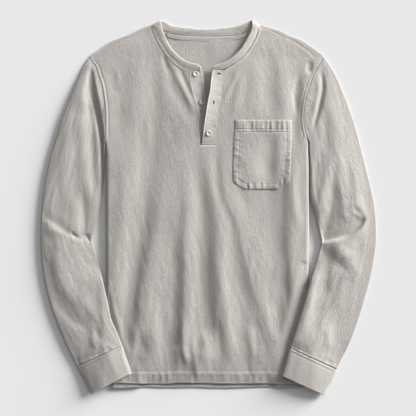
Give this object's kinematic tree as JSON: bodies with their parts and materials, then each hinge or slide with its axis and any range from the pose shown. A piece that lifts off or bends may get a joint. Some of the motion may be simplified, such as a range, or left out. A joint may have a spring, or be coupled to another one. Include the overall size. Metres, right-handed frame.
{
  "type": "long-sleeve henley shirt",
  "caption": "Long-sleeved henley shirt in soft garment-dyed jersey with a patch chest pocket, doubled neckband and cuffs and a short button placket, laid flat on its back.",
  "frame": {"origin": "on the surface that the shirt lies on, under the middle of its outline", "axes": "+X to the wearer's left sleeve, +Y from hem to neck, +Z out of the shirt's front, up from the surface"},
  "size_m": [0.6699, 0.7489, 0.0221],
  "materials": {
    "jersey": "matt washed cotton jersey in warm light grey, streaky slub, paler along its seams and edges",
    "doubled_jersey": "the same jersey, folded double and topstitched",
    "tape": "woven cotton neck tape in the cloth's colour",
    "button_shell": "satin greige, faintly mottled, two holes and a raised rim"
  },
  "bodies": {
    "root": {"back": "jersey", "button_bottom": "button_shell", "button_middle": "button_shell", "button_top": "button_shell", "cuff_left": "doubled_jersey", "cuff_right": "doubled_jersey", "front": "jersey", "neck_tape": "tape", "neckband": "doubled_jersey", "placket_over": "doubled_jersey", "placket_under": "doubled_jersey", "pocket": "jersey", "sleeve_left": "jersey", "sleeve_right": "jersey"}
  },
  "joints": []
}
